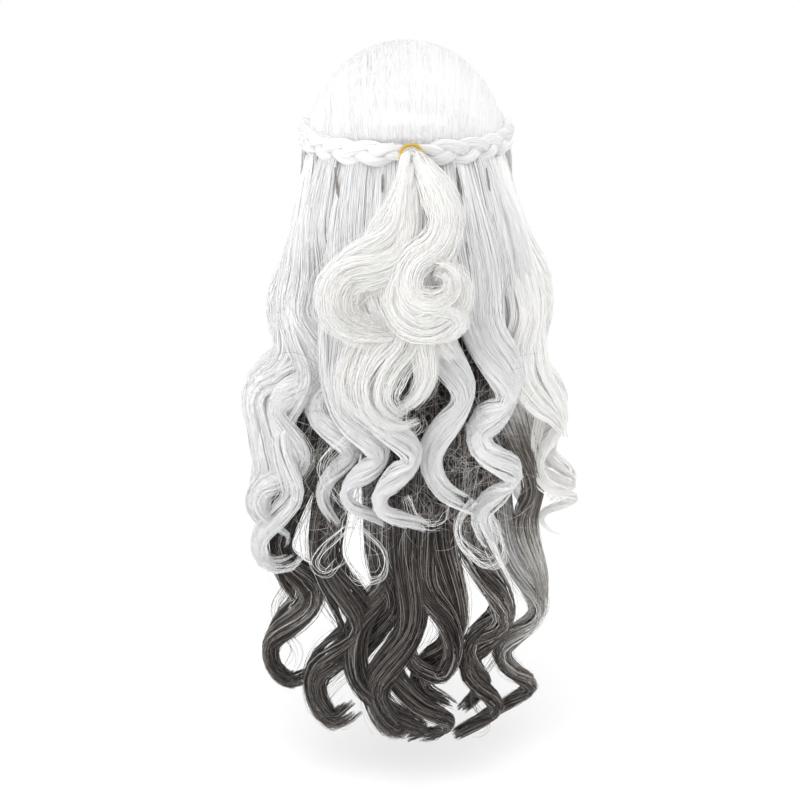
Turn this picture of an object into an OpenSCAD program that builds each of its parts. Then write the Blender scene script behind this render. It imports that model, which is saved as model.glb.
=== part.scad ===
// Long two-tone costume wig with half-up braids, held by a head.
// Frame: origin at the centre of the head opening, +Z up, +Y the way the wearer faces,
// +X to the wearer's right.

/* [Cap] */
// Half width of the head that the cap fits
head_a = 76; // [70:1:84]
// Half depth of the head that the cap fits
head_b = 94; // [86:1:104]
// Height of the cap's crown above its widest level
head_c = 84; // [78:1:94]
// Height of the widest level above the origin
head_z = 55; // [45:1:65]
// Thickness of the cap's nets
net_t = 1.2; // [0.8:0.1:1.6]

/* [Hair] */
// Thickness of the hair over the crown
crown_t = 13; // [8:0.5:16]
// Length scale of the hanging locks
fall = 1.0; // [0.9:0.01:1.1]
// Rings along each span of a lock
rings = 4; // [2:1:5]

/* [Braids] */
// Height of a braid where it lies on the head
braid_h = 18; // [14:1:22]
// Thickness of a braid, out from the head
braid_t = 9; // [7:0.5:11]

/* [Hair tie] */
// Radius of the hair bundle inside the tie
tie_r = 7; // [5:0.5:9]
// Radius of the tie's own section
tie_wire = 1.6; // [1:0.1:2.5]

/* [Adjusters] */
// Height of an elastic adjuster strap
strap_h = 7; // [5:0.5:9]
// Travel of an adjuster from the loosest loop to the tightest
adjust_travel = 14; // [8:1:16]

/* [Hidden] */
$fn = 48;
white = [0.94, 0.94, 0.95];
dark = [0.26, 0.24, 0.235];
ash = [0.55, 0.52, 0.49];
net_colour = [0.80, 0.77, 0.73];
gold = [0.85, 0.62, 0.16];

boxy = 2.2;          // exponent that makes the crown fuller than an ellipsoid
nape_taper = 0.09;   // how far the cap draws in towards the nape
net_out = net_t;           // offset of the nets' outer face
weft_in = net_out + 0.4;   // the wefts and the parting strip lie on the nets
weft_out = weft_in + 1.2;
hair_in = weft_out + 0.8;  // offset of the crown hair's inner face
section_sides = 8;   // sides of a lock's section

crown_end = 60;      // angle from the apex where the crown net meets the lower nets
hair_end = 72;       // angle where the crown hair tucks under the braids
braid_level = 79;    // height of the braids at the sides
tie_at = [4, -(head_b + 27), 82];

// Lower edge of the cap, as an angle from the apex, by azimuth from the back
cap_edge = [[0, 150], [45, 148], [72, 122], [112, 118], [138, 84], [180, 68]];
edge = function (az) lookup(abs(az), cap_edge);

// A point on the head: az from the back towards +X, phi down from the apex, off outwards
function skin(az, phi, off) =
  let (s = phi < 90 ? pow(sin(phi), 2 / boxy) : 1 - nape_taper * pow((phi - 90) / 60, 2),
       z = phi < 90 ? (head_c + off) * pow(cos(phi), 2 / boxy) : 90 - phi)
  [(head_a + off) * s * sin(az), -(head_b + off) * s * cos(az), head_z + z];

function mix(a, b, s) = a + (b - a) * s;
function unit(v) = v / norm(v);
function flat(lists) = [for (l = lists) each l];

// Side faces of a closed grid of n rings with m points each
function wall_faces(n, m) = flat([for (i = [0 : n - 2]) [for (j = [0 : m - 1])
  each [[i * m + j, i * m + (j + 1) % m, (i + 1) * m + (j + 1) % m],
        [i * m + j, (i + 1) * m + (j + 1) % m, (i + 1) * m + j]]]]);

// The same grid with a flat cap on its first and last ring
function tube_faces(n, m) = concat(
  [[for (j = [m - 1 : -1 : 0]) j]], wall_faces(n, m), [[for (j = [0 : m - 1]) (n - 1) * m + j]]);

// The same grid when each ring runs down one face and back up the other: its end strips join the two faces
function shell_faces(n, m) =
  let (down = m / 2 - 1, last = (n - 1) * m)
  concat(wall_faces(n, m),
    flat([for (j = [0 : down - 1])
      [[j + 1, j, m - 1 - j], [j + 1, m - 1 - j, m - 2 - j],
       [last + j, last + j + 1, last + m - 1 - j], [last + j + 1, last + m - 2 - j, last + m - 1 - j]]]));

// A curved panel on the head between two azimuths, from phi top(az) to low(az), between two offsets
module panel(az0, az1, top, low, off_in, off_out, across = 10, down = 6) {
  function row(az, off) = [for (j = [0 : down]) skin(az, mix(top(az), low(az), j / down), off)];
  function back_row(az) =
    [for (j = [down : -1 : 0]) skin(az, mix(top(az), low(az), j / down), off_out(j / down))];
  points = [for (i = [0 : across])
    let (az = mix(az0, az1, i / across)) each concat(row(az, off_in), back_row(az))];
  polyhedron(points, shell_faces(across + 1, 2 * (down + 1)), convexity = 6);
}

// A point on the smooth curve through the knots k, at u knots along
function knot(k, i) = k[max(0, min(len(k) - 1, i))];
function curve(k, u) =
  let (i = min(floor(u), len(k) - 2), f = u - i,
       p0 = knot(k, i - 1), p1 = knot(k, i), p2 = knot(k, i + 1), p3 = knot(k, i + 2))
  0.5 * (2 * p1 + (p2 - p0) * f + (2 * p0 - 5 * p1 + 4 * p2 - p3) * f * f
         + (3 * p1 - p0 - 3 * p2 + p3) * f * f * f);

// A lock of hair along knots k. size = [width, thickness] at the root, the middle and the tip.
module lock(k, size, per = rings) {
  n = (len(k) - 1) * per;
  scaled = [for (p = k) [p[0], p[1], p[2] < 0 ? p[2] * fall : p[2]]];
  at = [for (i = [0 : n]) curve(scaled, i / per)];
  function along(i) = unit(at[min(n, i + 1)] - at[max(0, i - 1)]);
  function wide(i) =
    let (s = i / n) s < 0.5 ? mix(size[0], size[1], 2 * s) : mix(size[1], size[2], 2 * s - 1);
  points = [for (i = [0 : n])
    let (t = along(i), out = unit([0.5 * at[i][0], at[i][1], 0]),
         w = unit(cross(t, out)), d = cross(w, t), half = wide(i) / 2)
    for (j = [0 : section_sides - 1])
      let (a = 360 * j / section_sides)
      at[i] + w * half[0] * cos(a) + d * half[1] * sin(a)];
  polyhedron(points, tube_faces(n + 1, section_sides), convexity = 8);
}

// Knots of each hanging lock, root first: [x, y, z], in millimetres
white_knots = [
  [[-80, -46, 65], [-86, -48, 20], [-90, -48, -20], [-108, -50, -65], [-86, -54, -108],
   [-124, -50, -148], [-105, -52, -198], [-131, -48, -240], [-108, -48, -285]],
  [[-70, -82, 66], [-76, -88, 20], [-76, -92, -20], [-84, -96, -60], [-62, -100, -95],
   [-76, -103, -138], [-46, -108, -175], [-72, -109, -212], [-56, -110, -250]],
  [[-44, -104, 66], [-47, -112, 20], [-48, -116, -20], [-56, -120, -75], [-54, -122, -130],
   [-22, -126, -172], [-52, -128, -208], [-18, -126, -235]],
  [[-15, -114, 66], [-16, -121, 20], [-18, -124, -30], [-30, -128, -80], [-29, -131, -130],
   [6, -134, -170], [-24, -138, -212], [18, -136, -234]],
  [[15, -114, 66], [16, -121, 20], [18, -123, -30], [28, -126, -75], [48, -124, -120],
   [22, -118, -172], [30, -120, -205], [60, -125, -222]],
  [[44, -104, 66], [50, -112, 20], [58, -114, -20], [64, -114, -65], [88, -110, -122],
   [62, -114, -165], [94, -108, -200], [64, -110, -236], [80, -106, -275]],
  [[70, -82, 66], [80, -88, 20], [90, -88, -20], [96, -86, -70], [88, -84, -125],
   [100, -80, -175], [113, -76, -222], [107, -75, -262], [122, -73, -315], [122, -72, -350]],
  [[80, -46, 65], [88, -48, 20], [97, -50, -20], [118, -50, -68], [104, -52, -115],
   [136, -48, -158], [120, -50, -205], [150, -46, -232], [124, -48, -250]]
];
white_sizes = [
  [[31, 9], [40, 14], [18, 9]], [[29, 9], [28, 12], [14, 8]], [[30, 9], [26, 11], [15, 8]],
  [[30, 9], [25, 12], [15, 8]], [[30, 9], [25, 11], [16, 8]], [[30, 9], [28, 12], [17, 9]],
  [[29, 9], [27, 12], [16, 9]], [[31, 9], [33, 13], [8, 6]]
];
dark_knots = [
  [[-60, -66, -14], [-68, -74, -60], [-74, -82, -120], [-86, -86, -190], [-112, -86, -268],
   [-88, -84, -322], [-122, -82, -372], [-108, -84, -408], [-88, -78, -406]],
  [[-40, -80, -14], [-46, -90, -60], [-50, -90, -120], [-56, -90, -190], [-72, -94, -275],
   [-44, -100, -345], [-82, -100, -396], [-68, -102, -438], [-46, -94, -428]],
  [[-18, -88, -14], [-20, -96, -60], [-20, -98, -120], [-22, -98, -200], [-22, -98, -270],
   [-12, -90, -330], [-46, -84, -386], [-34, -82, -424]],
  [[2, -89, -14], [2, -98, -60], [4, -102, -120], [2, -102, -200], [2, -104, -270],
   [4, -108, -340], [-28, -110, -402], [-8, -112, -444], [8, -104, -422]],
  [[22, -88, -14], [26, -96, -60], [28, -98, -120], [28, -98, -200], [28, -98, -265],
   [42, -98, -352], [12, -92, -404], [42, -90, -438]],
  [[43, -80, -14], [50, -90, -60], [54, -90, -120], [54, -90, -200], [56, -90, -265],
   [88, -94, -340], [56, -96, -388], [82, -98, -432], [44, -100, -458]],
  [[62, -64, -14], [74, -70, -60], [80, -70, -120], [80, -64, -200], [92, -60, -285],
   [121, -60, -350], [88, -62, -396], [116, -60, -430], [82, -58, -458]]
];
dark_sizes = [
  [[21, 10], [28, 14], [16, 10]], [[21, 10], [30, 14], [18, 11]], [[20, 10], [24, 12], [16, 10]],
  [[20, 10], [26, 12], [19, 11]], [[20, 10], [24, 12], [17, 10]], [[21, 10], [26, 13], [12, 8]],
  [[21, 10], [25, 12], [11, 8]]
];
// Front locks and fringe of the left side; the right side is their mirror image
front_knots = [
  [[-86, -6, 62], [-92, -8, 15], [-95, -10, -35], [-110, -8, -85], [-96, -10, -135],
   [-116, -8, -185], [-100, -10, -235], [-114, -8, -280]],
  [[-83, 30, 64], [-90, 34, 18], [-92, 38, -30], [-104, 40, -80], [-88, 42, -125],
   [-106, 40, -172], [-92, 42, -215]]
];
front_sizes = [[[36, 8], [34, 13], [15, 8]], [[32, 8], [26, 12], [12, 7]]];
fringe_knots = [
  [[-9, 92, 106], [-32, 92, 96], [-56, 81, 76], [-74, 65, 46], [-84, 56, 8]],
  [[-7, 101, 92], [-26, 101, 78], [-46, 92, 58], [-60, 82, 30]]
];
fringe_sizes = [[[20, 6], [24, 8], [10, 6]], [[14, 5], [18, 6], [8, 4]]];
// Locks of the tail, which start at the end of the hair bundle
tail_knots = [
  [[0, -132, 82], [-4, -146, 52], [-12, -152, 26], [-42, -156, 4], [-58, -158, -24],
   [-44, -160, -50], [-14, -160, -58]],
  [[9, -132, 82], [32, -148, 42], [28, -154, 18], [3, -158, -2], [-4, -162, -30],
   [16, -166, -44], [40, -164, -30], [42, -162, -10], [24, -164, 0]],
  [[8, -131, 75], [24, -136, 30], [34, -142, -20], [24, -148, -60], [40, -150, -82]],
  [[-1, -130, 73], [-8, -135, 30], [-14, -140, -30], [-40, -143, -76], [-48, -146, -110],
   [-26, -150, -134]],
  [[4, -130, 76], [4, -138, 30], [4, -142, -30], [16, -146, -76], [14, -150, -106],
   [-8, -156, -120]]
];
tail_sizes = [
  [[7, 5], [24, 12], [14, 8]], [[7, 5], [22, 12], [11, 7]], [[4, 3], [14, 8], [8, 5]],
  [[4, 3], [17, 8], [12, 6]], [[4, 3], [12, 7], [9, 5]]
];
// The two braids follow the head from the temples to the tie
braid_from = 118;    // azimuth where a braid starts, from the back
braid_to = 5;        // azimuth where it meets the hair bundle
braid_off = 15;      // offset of its middle from the head
braid_size = [braid_h, braid_t];
braid_knots = [for (i = [0 : 10])
  let (az = mix(braid_from, braid_to, i / 10), rise = 3 * i / 10 - 3 * sin(18 * i))
  [-(head_a + braid_off) * sin(az), -(head_b + braid_off) * cos(az), braid_level + rise]];

function numbered(name, k) = [for (i = [1 : len(k)]) str(name, "_", i)];
sides = ["left", "right"];
cap_kinds = ["crown_net", "side_net", "ear_tab", "adjuster_casing", "adjuster_strap", "adjuster_hook"];
cap_nodes = [for (n = cap_kinds) each [for (s = sides) str(n, "_", s)]];
NODES = concat(
  ["back_net", "front_band", "nape_band", "parting_strip", "white_wefts", "dark_wefts", "adjuster_loops"],
  cap_nodes,
  ["crown_hair_left", "crown_hair_back", "crown_hair_right"],
  ["braid_left", "braid_right", "hair_bundle", "hair_tie"],
  numbered("white_lock", white_knots), numbered("dark_lock", dark_knots),
  [for (s = sides) each [for (n = ["temple_lock", "face_lock", "fringe", "fringe_tip"]) str(n, "_", s)]],
  numbered("tail_lock", tail_knots));
node = "all";
function wanted(name) = node == "all" || node == name;

module on_side(s) { if (s == "right") mirror([1, 0, 0]) children(); else children(); }

// ---- the cap ----
function always(v) = function (az) v;
net_face = always(net_out);

module crown_net() {
  color(net_colour) panel(-179.8, -0.2, always(3), always(crown_end - 0.4), 0, net_face, 16, 7);
}
module side_net() {
  color(net_colour) panel(-140, -50.3, always(crown_end), edge, 0, net_face, 9, 5);
}
module back_net() {
  color(net_colour) panel(-49.9, 49.9, always(crown_end), edge, 0, net_face, 10, 7);
}
module front_band() {
  color(net_colour) panel(140.3, 219.7, always(crown_end), function (az) edge(360 - max(az, 360 - az)),
    0, always(net_out + 0.3), 9, 2);
}
module nape_band() {
  color("dimgray") panel(-46, 46, function (az) edge(az) - 12, function (az) edge(az) - 1,
    -1.8, always(-0.8), 10, 2);
}
module ear_tab() {
  color(net_colour) panel(-124, -98, function (az) edge(az) + 0.4,
    function (az) edge(az) + 4 + 16 * sin(180 * (abs(az) - 98) / 26), 0, always(net_out + 0.4), 6, 3);
}
strip_half = 9;      // half width of the strip under the parting
module parting_strip() {
  function across(phi, off) = [for (x = [-strip_half, 0, strip_half])
    skin(180 - asin(x / ((head_a + off) * pow(sin(phi), 2 / boxy))), phi, off)];
  function reversed(l) = [for (i = [len(l) - 1 : -1 : 0]) l[i]];
  rings_of_strip = [for (i = [0 : 9])
    let (phi = mix(9, crown_end - 1, i / 9)) concat(across(phi, weft_in), reversed(across(phi, weft_out)))];
  color("white") polyhedron(flat(rings_of_strip), tube_faces(10, 6), convexity = 4);
}
// Rows of wefts: strips of stitched hair sewn round the back of the cap
module weft_rows(angles, reach, tone) {
  color(tone) for (phi = angles)
    panel(-reach, reach, always(phi - 2.5), always(phi + 2.5), weft_in, always(weft_out), 14, 1);
}
module white_wefts() { weft_rows([78, 90, 102], 70, white); }
module dark_wefts() { weft_rows([116, 128, 140], 48, dark); }

// ---- the adjusters at the nape, in a frame whose +X runs towards the middle of the nape ----
adjust_phi = 144;    // how far down the cap the adjusters lie
adjust_in = -6;      // offset of their line from the nets
adjust_from = skin(-44, adjust_phi, adjust_in);
adjust_to = skin(-2, adjust_phi, adjust_in);
casing_l = 16;
casing_wall = 0.8;
casing_gap = 0.4;
strap_l = 26;
strap_t = 0.8;
hook_l = 8;
hook_at = 23;        // where the strap ends and the hook begins, at its loosest
loops_from = -21;    // azimuth of the loop that holds the hook at its loosest
per_degree = 1.35;   // millimetres of an adjuster's travel for each degree of azimuth

module adjuster_place() {
  run = adjust_to - adjust_from;
  translate(adjust_from) rotate([0, 0, atan2(run[1], run[0])]) children();
}
module adjuster_casing() {
  h = strap_h + 2 * (casing_gap + casing_wall);
  t = strap_t + 2 * (casing_gap + casing_wall);
  color("dimgray") adjuster_place() difference() {
    translate([0, -t / 2, -h / 2]) cube([casing_l, t, h]);
    translate([-1, -t / 2 + casing_wall, -h / 2 + casing_wall])
      cube([casing_l + 2, t - 2 * casing_wall, h - 2 * casing_wall]);
  }
}
module adjuster_strap() {
  color("black") adjuster_place()
    translate([hook_at - strap_l, -strap_t / 2, -strap_h / 2]) cube([strap_l, strap_t, strap_h]);
}
// A flat hook sewn to the end of the strap
module adjuster_hook() {
  color("black") adjuster_place() translate([hook_at, 0, 0]) rotate([90, 0, 0])
    linear_extrude(1.2, center = true) difference() {
      translate([0, -strap_h / 2 - 0.5]) square([hook_l, strap_h + 1]);
      translate([2, -1.6]) square([hook_l - 3.5, strap_h]);
    }
}
// Loops on the nape band that the hooks catch, at the start, the middle and the end of their travel
module adjuster_loops() {
  color("black") for (s = sides) on_side(s) for (i = [0 : 2]) {
    az = loops_from + adjust_travel * i / 2 / per_degree;
    panel(az, az + 2, always(adjust_phi - 5.5), always(adjust_phi + 4.5), -3, always(-2.2), 1, 2);
  }
}

// ---- the hair ----
// Offset of the crown hair's outer face: flatter at the very top, drawn in at its lower edge
crown_cover = function (v) hair_in + crown_t * (1 - 0.75 * pow(v, 10)) * min(1, 0.55 + 3 * v);
// Lower edge of the crown hair's side parts: level over the temples, then up to the hairline
crown_edge = [[60, hair_end], [130, hair_end], [180, 60]];
module crown_hair(az0, az1, low) {
  color(white) panel(az0, az1, always(1.5), low, hair_in, crown_cover, 10, 9);
}
module crown_hair_left() { crown_hair(-179.2, -60.2, function (az) lookup(abs(az), crown_edge)); }
module crown_hair_right() { mirror([1, 0, 0]) crown_hair_left(); }
module crown_hair_back() { crown_hair(-59.8, 59.8, always(hair_end)); }

module braid() { color(white) lock(braid_knots, [braid_size, braid_size, 0.8 * braid_size], 2); }

bundle_l = 13;
module hair_bundle() {
  color(white) translate(tie_at) rotate([90, 0, 0]) cylinder(h = bundle_l, r = tie_r - 0.3, center = true);
}
module hair_tie() {
  color(gold) translate(tie_at - [0, 1.5, 0]) rotate([90, 0, 0])
    rotate_extrude() translate([tie_r + tie_wire, 0]) circle(r = tie_wire, $fn = 24);
}

// ---- every node, by name ----
if (wanted("back_net")) back_net();
if (wanted("front_band")) front_band();
if (wanted("nape_band")) nape_band();
if (wanted("parting_strip")) parting_strip();
if (wanted("white_wefts")) white_wefts();
if (wanted("dark_wefts")) dark_wefts();
if (wanted("adjuster_loops")) adjuster_loops();
for (s = sides) on_side(s) {
  if (wanted(str("crown_net_", s))) crown_net();
  if (wanted(str("side_net_", s))) side_net();
  if (wanted(str("ear_tab_", s))) ear_tab();
  if (wanted(str("adjuster_casing_", s))) adjuster_casing();
  if (wanted(str("adjuster_strap_", s))) adjuster_strap();
  if (wanted(str("adjuster_hook_", s))) adjuster_hook();
  if (wanted(str("braid_", s))) braid();
  if (wanted(str("temple_lock_", s))) color(white) lock(front_knots[0], front_sizes[0]);
  if (wanted(str("face_lock_", s))) color(white) lock(front_knots[1], front_sizes[1]);
  if (wanted(str("fringe_", s))) color(white) lock(fringe_knots[0], fringe_sizes[0]);
  if (wanted(str("fringe_tip_", s))) color(white) lock(fringe_knots[1], fringe_sizes[1]);
}
if (wanted("crown_hair_left")) crown_hair_left();
if (wanted("crown_hair_back")) crown_hair_back();
if (wanted("crown_hair_right")) crown_hair_right();
if (wanted("hair_bundle")) hair_bundle();
if (wanted("hair_tie")) hair_tie();
ashen = 6;           // index of the white lock that turns ash grey on its way down
for (i = [0 : len(white_knots) - 1])
  if (wanted(str("white_lock_", i + 1)))
    color(i == ashen ? ash : white) lock(white_knots[i], white_sizes[i]);
for (i = [0 : len(dark_knots) - 1])
  if (wanted(str("dark_lock_", i + 1))) color(dark) lock(dark_knots[i], dark_sizes[i]);
for (i = [0 : len(tail_knots) - 1])
  if (wanted(str("tail_lock_", i + 1))) color(white) lock(tail_knots[i], tail_sizes[i]);
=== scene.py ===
"""Looks of the long two-tone costume wig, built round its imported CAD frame.

Every lock, braid and crown section is a bundle of fine closed tubes, one for each fibre that shows,
round a slimmer core that closes the bundle. Places are in metres, in the frame shared with the CAD.
"""
import math

import bpy
import numpy as np
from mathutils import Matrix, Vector


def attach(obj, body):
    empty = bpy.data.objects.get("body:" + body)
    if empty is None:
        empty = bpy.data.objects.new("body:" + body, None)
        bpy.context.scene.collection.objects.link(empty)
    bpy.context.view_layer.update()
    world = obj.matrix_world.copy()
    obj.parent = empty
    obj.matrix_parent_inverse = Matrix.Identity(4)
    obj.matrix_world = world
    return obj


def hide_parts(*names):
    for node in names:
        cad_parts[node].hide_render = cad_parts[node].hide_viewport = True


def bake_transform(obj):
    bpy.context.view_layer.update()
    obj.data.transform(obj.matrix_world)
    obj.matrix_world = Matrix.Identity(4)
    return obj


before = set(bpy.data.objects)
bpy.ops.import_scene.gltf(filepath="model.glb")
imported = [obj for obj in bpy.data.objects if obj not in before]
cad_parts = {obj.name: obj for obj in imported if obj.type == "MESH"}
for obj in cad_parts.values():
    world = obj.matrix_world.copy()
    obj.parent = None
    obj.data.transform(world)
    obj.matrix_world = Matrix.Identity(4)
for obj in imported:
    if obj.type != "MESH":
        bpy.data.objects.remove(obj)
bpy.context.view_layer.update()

MM = 0.001
UP = np.array([0.0, 0.0, 1.0])
rng = np.random.default_rng(7)

# The head that the cap fits, as in the CAD: half sizes, level of its widest part, and its shape
HEAD = np.array([76, 94, 84]) * MM
HEAD_Z = 55 * MM
BOXY = 2.2
# Half the curvature of the head, in 1/m
ROOT_BOW = 5.5
# How far the outer face of the crown's hair is from the head, how much less at the sides, and its shape
HAIR_OFF = 16.4 * MM
CROWN_INSET = np.array([5, 0, 0]) * MM
CROWN_BOXY = 2.06
CROWN_FIBRES = 1700           # in each of its three sections
# Usual length of one wave of a lock
WAVE = 95 * MM
# Middle of the tie
TIE = np.array([4, -121, 82]) * MM
# The braids' level, how far they run off the head at its sides and its back, and the length in which a
# strand comes back to the same place
BRAID_LEVEL = 79 * MM
BRAID_OFF = (11 * MM, 17 * MM)
BRAID_CYCLE = 78 * MM

# The camera looks down on the wig from behind, by CAMERA_TILT degrees
CAMERA_PLACE = (0, -1.5, 0.36)
CAMERA_TILT = 19.4
CAMERA_LENS = 78.5
CAMERA_SHIFT = -0.0075
FLOOR_Z = -506 * MM
# The lamps all point at one place; each has its own place, size and power
LAMP_AIM = (0, -0.05, -0.12)
LAMPS = {
    "top": ((-0.25, -0.9, 1.55), 1.8, 10.5),
    "fill": ((-1.5, -1.3, 0.0), 1.4, 11),
    "rim": ((1.6, 0.9, 0.8), 1.2, 6),
}

# ---- centrelines of the locks, in millimetres, root first, as in the CAD, and widths from root to tip ----

WHITE = {
    "white_lock_1": ([(-80, -46, 65), (-86, -48, 20), (-90, -48, -20), (-108, -50, -65), (-86, -54, -108),
        (-124, -50, -148), (-105, -52, -198), (-131, -48, -240), (-108, -48, -285)], (31, 40, 18)),
    "white_lock_2": ([(-70, -82, 66), (-76, -88, 20), (-76, -92, -20), (-84, -96, -60), (-62, -100, -95),
        (-76, -103, -138), (-46, -108, -175), (-72, -109, -212), (-56, -110, -250)], (29, 28, 14)),
    "white_lock_3": ([(-44, -104, 66), (-47, -112, 20), (-48, -116, -20), (-56, -120, -75),
        (-54, -122, -130), (-22, -126, -172), (-52, -128, -208), (-18, -126, -235)], (30, 26, 15)),
    "white_lock_4": ([(-15, -114, 66), (-16, -121, 20), (-18, -124, -30), (-30, -128, -80),
        (-29, -131, -130), (6, -134, -170), (-24, -138, -212), (18, -136, -234)], (30, 25, 15)),
    "white_lock_5": ([(15, -114, 66), (16, -121, 20), (18, -123, -30), (28, -126, -75), (48, -124, -120),
        (22, -118, -172), (30, -120, -205), (60, -125, -222)], (30, 25, 16)),
    "white_lock_6": ([(44, -104, 66), (50, -112, 20), (58, -114, -20), (64, -114, -65), (88, -110, -122),
        (62, -114, -165), (94, -108, -200), (64, -110, -236), (80, -106, -275)], (30, 28, 17)),
    "white_lock_7": ([(70, -82, 66), (80, -88, 20), (90, -88, -20), (96, -86, -70), (88, -84, -125),
        (100, -80, -175), (113, -76, -222), (107, -75, -262), (122, -73, -315), (122, -72, -350)],
        (29, 27, 16)),
    "white_lock_8": ([(80, -46, 65), (88, -48, 20), (97, -50, -20), (118, -50, -68), (104, -52, -115),
        (136, -48, -158), (120, -50, -205), (150, -46, -232), (124, -48, -250)], (31, 33, 8)),
}
DARK = {
    "dark_lock_1": ([(-60, -66, -14), (-68, -74, -60), (-74, -82, -120), (-86, -86, -190),
        (-112, -86, -268), (-88, -84, -322), (-122, -82, -372), (-108, -84, -408), (-88, -78, -406)],
        (21, 28, 16)),
    "dark_lock_2": ([(-40, -80, -14), (-46, -90, -60), (-50, -90, -120), (-56, -90, -190), (-72, -94, -275),
        (-44, -100, -345), (-82, -100, -396), (-68, -102, -438), (-46, -94, -428)], (21, 30, 18)),
    "dark_lock_3": ([(-18, -88, -14), (-20, -96, -60), (-20, -98, -120), (-22, -98, -200), (-22, -98, -270),
        (-12, -90, -330), (-46, -84, -386), (-34, -82, -424)], (20, 24, 16)),
    "dark_lock_4": ([(2, -89, -14), (2, -98, -60), (4, -102, -120), (2, -102, -200), (2, -104, -270),
        (4, -108, -340), (-28, -110, -402), (-8, -112, -444), (8, -104, -422)], (20, 26, 19)),
    "dark_lock_5": ([(22, -88, -14), (26, -96, -60), (28, -98, -120), (28, -98, -200), (28, -98, -265),
        (42, -98, -352), (12, -92, -404), (42, -90, -438)], (20, 24, 17)),
    "dark_lock_6": ([(43, -80, -14), (50, -90, -60), (54, -90, -120), (54, -90, -200), (56, -90, -265),
        (88, -94, -340), (56, -96, -388), (82, -98, -432), (44, -100, -458)], (21, 26, 12)),
    "dark_lock_7": ([(62, -64, -14), (74, -70, -60), (80, -70, -120), (80, -64, -200), (92, -60, -285),
        (121, -60, -350), (88, -62, -396), (116, -60, -430), (82, -58, -458)], (21, 25, 11)),
}
# Front locks of the left side; the right side mirrors them
FRONT = {
    "temple_lock": ([(-86, -6, 62), (-92, -8, 15), (-95, -10, -35), (-110, -8, -85), (-96, -10, -135),
        (-116, -8, -185), (-100, -10, -235), (-114, -8, -280)], (36, 34, 15)),
    "face_lock": ([(-83, 30, 64), (-90, 34, 18), (-92, 38, -30), (-104, 40, -80), (-88, 42, -125),
        (-106, 40, -172), (-92, 42, -215)], (32, 26, 12)),
    "fringe": ([(-9, 92, 106), (-32, 92, 96), (-56, 81, 76), (-74, 65, 46), (-84, 56, 8)], (20, 24, 10)),
    "fringe_tip": ([(-7, 101, 92), (-26, 101, 78), (-46, 92, 58), (-60, 82, 30)], (14, 18, 8)),
}
TAIL = {
    "tail_lock_1": ([(0, -132, 82), (-4, -146, 52), (-12, -152, 26), (-42, -156, 4), (-58, -158, -24),
        (-44, -160, -50), (-14, -160, -58)], (7, 26, 16)),
    "tail_lock_2": ([(9, -132, 82), (32, -148, 42), (28, -154, 18), (3, -158, -2), (-4, -162, -30),
        (16, -166, -44), (40, -164, -30), (42, -162, -10), (24, -164, 0)], (7, 24, 12)),
    "tail_lock_3": ([(8, -131, 75), (24, -136, 30), (34, -142, -20), (24, -148, -60), (40, -150, -82)],
        (4, 16, 9)),
    "tail_lock_4": ([(-1, -130, 73), (-8, -135, 30), (-14, -140, -30), (-40, -143, -76), (-48, -146, -110),
        (-26, -150, -134)], (4, 19, 13)),
    "tail_lock_5": ([(4, -130, 76), (4, -138, 30), (4, -142, -30), (16, -146, -76), (14, -150, -106),
        (-8, -156, -120)], (4, 14, 10)),
}

# ---- loose hair that only this script adds ----

# Outer hair in front of the outermost locks
OUTER_WAVES = {
    "outer_wave_1": ("left", [(-78, -60, 70), (-86, -80, 20), (-91, -94, -20), (-96, -98, -55),
        (-79, -101, -90), (-77, -104, -103), (-89, -106, -113), (-107, -106, -124), (-113, -104, -140),
        (-105, -104, -158), (-96, -106, -175), (-95, -106, -188), (-109, -106, -200), (-126, -104, -211),
        (-129, -104, -224), (-123, -104, -238), (-111, -105, -249), (-103, -105, -258), (-108, -104, -266)],
        (14, 26, 34, 32, 28, 22, 16)),
    "outer_wave_2": ("left", [(-80, -56, 68), (-89, -70, 20), (-95, -86, -20), (-98, -92, -60),
        (-97, -94, -90), (-108, -97, -108), (-124, -98, -118), (-130, -98, -132), (-128, -98, -150),
        (-124, -98, -180), (-122, -98, -196), (-128, -98, -210), (-134, -98, -222), (-131, -98, -236),
        (-124, -98, -248), (-134, -97, -258)], (12, 20, 26, 28, 22, 16, 10)),
    "outer_wave_3": ("right", [(76, -60, 68), (87, -72, 20), (95, -84, -20), (103, -93, -60),
        (99, -97, -92), (103, -98, -116), (115, -97, -134), (128, -95, -150), (139, -92, -172)],
        (12, 22, 28, 30, 34, 30, 5)),
    "outer_wave_4": ("right", [(80, -50, 60), (96, -60, 0), (110, -68, -70), (116, -74, -140),
        (112, -78, -180), (113, -78, -208), (124, -76, -225), (141, -74, -230), (150, -72, -236),
        (142, -72, -244), (126, -72, -249), (119, -72, -257), (128, -71, -266), (141, -70, -270)],
        (10, 16, 24, 22, 10, 8, 6)),
    "outer_wave_5": ("right", [(78, -56, 64), (92, -64, 10), (104, -74, -50), (112, -82, -110),
        (126, -86, -138), (134, -86, -156), (128, -84, -176), (118, -82, -196), (121, -80, -212),
        (136, -77, -222), (147, -74, -230)], (10, 16, 22, 24, 18, 10, 5)),
    "outer_wave_6": ("left", [(-78, -58, 66), (-88, -82, 0), (-96, -100, -60), (-84, -106, -110),
        (-106, -109, -160), (-96, -112, -210), (-110, -112, -234), (-126, -112, -250), (-129, -112, -268),
        (-116, -112, -281), (-97, -112, -277), (-93, -112, -262)], (8, 10, 12, 14, 18, 24, 22)),
}
THIN_WAVES = ("outer_wave_4", "outer_wave_5", "outer_wave_6")
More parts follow.
